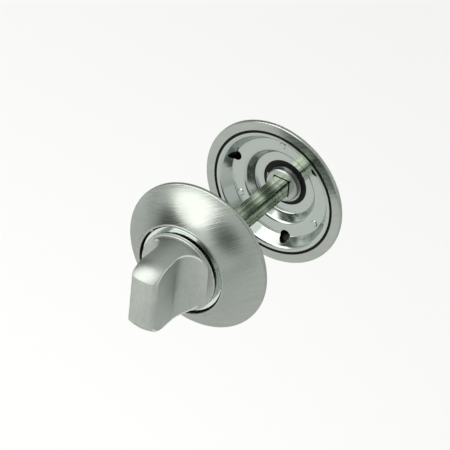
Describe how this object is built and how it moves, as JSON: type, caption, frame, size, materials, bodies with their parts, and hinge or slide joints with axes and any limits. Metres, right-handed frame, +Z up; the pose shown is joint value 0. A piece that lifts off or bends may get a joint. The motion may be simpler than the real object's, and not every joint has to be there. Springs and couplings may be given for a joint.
{
  "type": "bathroom thumb turn lock",
  "caption": "Bathroom turn and release set: a flared rose with a bladed thumb turn, a square spindle through the door, and a coin-slot release on the other face.",
  "frame": {"origin": "on the turning axis, in the plane of the thumb rose's back rim where it meets the door", "axes": "+Z up along the blade of the thumb turn at rest, +Y along the spindle into the door, thumb turn facing -Y"},
  "size_m": [0.053, 0.0933, 0.053],
  "materials": {
    "satin_nickel": "satin nickel plate on cast zinc and pressed brass, finely brushed",
    "bright_plate": "bright plated pressed steel",
    "black_nylon": "moulded black nylon",
    "spring_steel": "plain spring steel",
    "zinc_steel": "cold drawn bar, yellow zinc plated",
    "dark_steel": "black oxide"
  },
  "bodies": {
    "thumb_side": {"thumb_rose": "satin_nickel", "thumb_rose_ring": "black_nylon", "thumb_plate": "bright_plate", "thumb_bush": "black_nylon", "thumb_washer": "bright_plate"},
    "thumb_turn": {"thumb_turn": "satin_nickel", "spindle": "zinc_steel", "spindle_screw": "dark_steel", "thumb_circlip": "spring_steel"},
    "release_side": {"release_rose": "satin_nickel", "release_rose_ring": "black_nylon", "release_plate": "bright_plate", "release_bush": "black_nylon", "release_washer": "bright_plate"},
    "release_turn": {"release_turn": "satin_nickel", "release_circlip": "spring_steel"}
  },
  "joints": [
    {"name": "thumb_turning", "type": "hinge", "parent": "thumb_side", "child": "thumb_turn", "pos_m": [0, 0, 0], "axis": [0, 1, 0], "range_deg": [-90, 90]},
    {"name": "door_adjustment", "type": "slide", "parent": "thumb_side", "child": "release_side", "axis": [0, 1, 0], "range_m": [-0.0014, 0.0026]},
    {"name": "release_turning", "type": "hinge", "parent": "release_side", "child": "release_turn", "pos_m": [0, 0.044, 0], "axis": [0, 1, 0], "range_deg": [-90, 90]}
  ],
  "couplings": [
    {"joint": "release_turning", "follows": "thumb_turning", "ratio": 1}
  ]
}
